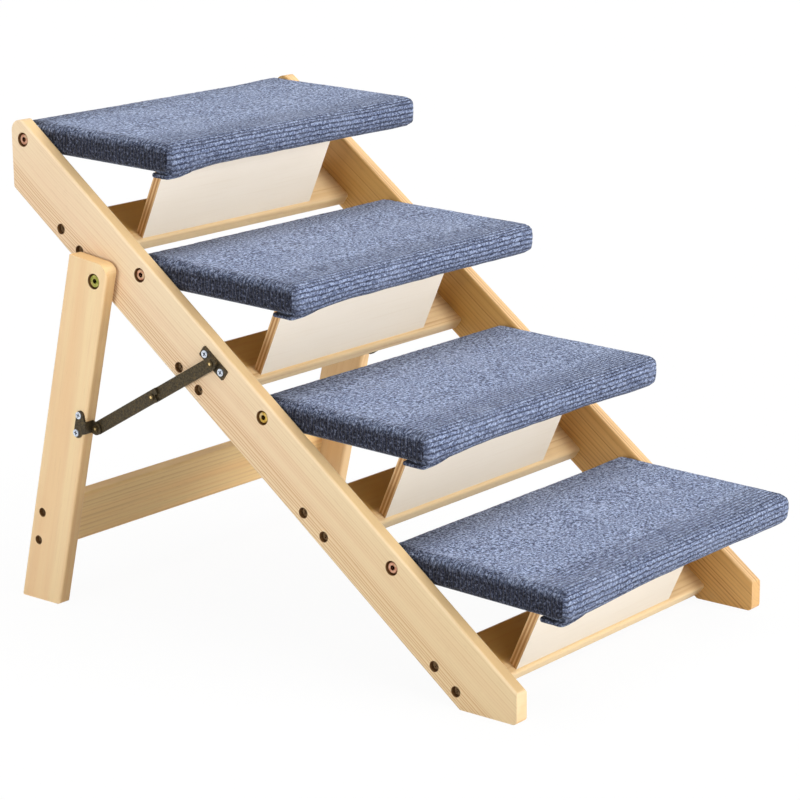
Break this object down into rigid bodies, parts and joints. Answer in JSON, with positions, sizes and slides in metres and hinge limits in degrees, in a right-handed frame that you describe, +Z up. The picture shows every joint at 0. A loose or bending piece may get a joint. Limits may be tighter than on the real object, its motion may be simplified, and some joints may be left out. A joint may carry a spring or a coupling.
{
  "type": "pet stairs",
  "caption": "Folding pet stairs: carpeted treads pivoted between sloping pine side boards, hinged prop boards under the treads and rear legs that fold on riveted stays.",
  "frame": {"origin": "on the floor under the middle of the bounding box", "axes": "+Z up, +Y uphill to the high back end, +X across the stairs, to the right for someone facing uphill"},
  "size_m": [0.4154, 0.6148, 0.4526],
  "materials": {
    "pine": "clear matt varnish over pale pine",
    "plywood": "pale sanded plywood with darker ply edges",
    "carpet": "ribbed needle-felt carpet in mixed blues",
    "tread_bolt": "copper-tinted passivated steel",
    "leg_bolt": "yellow passivated steel",
    "stay_steel": "dark bronze coated steel",
    "rivet": "satin brass",
    "zinc_steel": "bright zinc plated steel"
  },
  "bodies": {
    "frame": {"stringer_left": "pine", "stringer_right": "pine", "slat_1": "pine", "slat_2": "pine", "slat_3": "pine", "slat_4": "pine", "slat_screws": "zinc_steel", "tread_washers": "zinc_steel", "leg_pivot_bolts": "leg_bolt", "leg_pivot_inserts": "zinc_steel", "leg_pivot_washers": "zinc_steel", "stay_stringer_bracket_left": "stay_steel", "stay_stringer_bracket_right": "stay_steel", "stringer_bracket_screws": "zinc_steel", "stay_upper_rivets": "rivet"},
    "tread_1": {"tread_board_1": "pine", "tread_carpet_1": "carpet", "tread_bolts_1": "tread_bolt", "tread_inserts_1": "zinc_steel", "prop_hinge_upper_1": "zinc_steel"},
    "prop_1": {"prop_panel_1": "plywood", "prop_hinge_lower_1": "zinc_steel"},
    "tread_2": {"tread_board_2": "pine", "tread_carpet_2": "carpet", "tread_bolts_2": "tread_bolt", "tread_inserts_2": "zinc_steel", "prop_hinge_upper_2": "zinc_steel"},
    "prop_2": {"prop_panel_2": "plywood", "prop_hinge_lower_2": "zinc_steel"},
    "tread_3": {"tread_board_3": "pine", "tread_carpet_3": "carpet", "tread_bolts_3": "tread_bolt", "tread_inserts_3": "zinc_steel", "prop_hinge_upper_3": "zinc_steel"},
    "prop_3": {"prop_panel_3": "plywood", "prop_hinge_lower_3": "zinc_steel"},
    "tread_4": {"tread_board_4": "pine", "tread_carpet_4": "carpet", "tread_bolts_4": "tread_bolt", "tread_inserts_4": "zinc_steel", "prop_hinge_upper_4": "zinc_steel"},
    "prop_4": {"prop_panel_4": "plywood", "prop_hinge_lower_4": "zinc_steel"},
    "legs": {"leg_left": "pine", "leg_right": "pine", "leg_crossbar": "pine", "crossbar_screws": "zinc_steel", "stay_leg_bracket_left": "stay_steel", "stay_leg_bracket_right": "stay_steel", "leg_bracket_screws": "zinc_steel", "stay_lower_rivets": "rivet"},
    "stay_upper_left": {"stay_upper_bar_left": "stay_steel", "stay_mid_rivet_inner_left": "rivet"},
    "stay_lower_left": {"stay_lower_bar_left": "stay_steel", "stay_mid_rivet_outer_left": "rivet"},
    "stay_upper_right": {"stay_upper_bar_right": "stay_steel", "stay_mid_rivet_inner_right": "rivet"},
    "stay_lower_right": {"stay_lower_bar_right": "stay_steel", "stay_mid_rivet_outer_right": "rivet"}
  },
  "joints": [
    {"name": "tread_1_tilt", "type": "hinge", "parent": "frame", "child": "tread_1", "pos_m": [0, -0.1389, 0.11025], "axis": [1, 0, 0], "range_deg": [-40, 0]},
    {"name": "prop_1_fold", "type": "hinge", "parent": "tread_1", "child": "prop_1", "pos_m": [0, -0.24052, 0.09563], "axis": [1, 0, 0], "range_deg": [0, 66]},
    {"name": "tread_2_tilt", "type": "hinge", "parent": "frame", "child": "tread_2", "pos_m": [0, 0.00493, 0.21848], "axis": [1, 0, 0], "range_deg": [-40, 0]},
    {"name": "prop_2_fold", "type": "hinge", "parent": "tread_2", "child": "prop_2", "pos_m": [0, -0.09669, 0.20386], "axis": [1, 0, 0], "range_deg": [0, 66]},
    {"name": "tread_3_tilt", "type": "hinge", "parent": "frame", "child": "tread_3", "pos_m": [0, 0.14876, 0.3267], "axis": [1, 0, 0], "range_deg": [-40, 0]},
    {"name": "prop_3_fold", "type": "hinge", "parent": "tread_3", "child": "prop_3", "pos_m": [0, 0.04714, 0.31208], "axis": [1, 0, 0], "range_deg": [0, 66]},
    {"name": "tread_4_tilt", "type": "hinge", "parent": "frame", "child": "tread_4", "pos_m": [0, 0.29259, 0.43493], "axis": [1, 0, 0], "range_deg": [-40, 0]},
    {"name": "prop_4_fold", "type": "hinge", "parent": "tread_4", "child": "prop_4", "pos_m": [0, 0.19097, 0.42031], "axis": [1, 0, 0], "range_deg": [0, 66]},
    {"name": "leg_fold", "type": "hinge", "parent": "frame", "child": "legs", "pos_m": [0, 0.19003, 0.31859], "axis": [1, 0, 0], "range_deg": [-66.84, 0]},
    {"name": "stay_upper_left_fold", "type": "hinge", "parent": "frame", "child": "stay_upper_left", "pos_m": [-0.1922, 0.06034, 0.25942], "axis": [1, 0, 0], "range_deg": [-113.88, 0]},
    {"name": "stay_lower_left_fold", "type": "hinge", "parent": "legs", "child": "stay_lower_left", "pos_m": [-0.1944, 0.2032, 0.17776], "axis": [1, 0, 0], "range_deg": [0, 126.06]},
    {"name": "stay_upper_right_fold", "type": "hinge", "parent": "frame", "child": "stay_upper_right", "pos_m": [0.1922, 0.06034, 0.25942], "axis": [1, 0, 0], "range_deg": [-113.88, 0]},
    {"name": "stay_lower_right_fold", "type": "hinge", "parent": "legs", "child": "stay_lower_right", "pos_m": [0.1944, 0.2032, 0.17776], "axis": [1, 0, 0], "range_deg": [0, 126.06]}
  ],
  "couplings": [
    {"joint": "prop_1_fold", "follows": "tread_1_tilt", "ratio": -1.65},
    {"joint": "prop_2_fold", "follows": "tread_2_tilt", "ratio": -1.65},
    {"joint": "prop_3_fold", "follows": "tread_3_tilt", "ratio": -1.65},
    {"joint": "prop_4_fold", "follows": "tread_4_tilt", "ratio": -1.65},
    {"joint": "stay_upper_left_fold", "follows": "leg_fold", "ratio": 1.7037},
    {"joint": "stay_lower_left_fold", "follows": "leg_fold", "ratio": -1.8859},
    {"joint": "stay_upper_right_fold", "follows": "leg_fold", "ratio": 1.7037},
    {"joint": "stay_lower_right_fold", "follows": "leg_fold", "ratio": -1.8859}
  ]
}
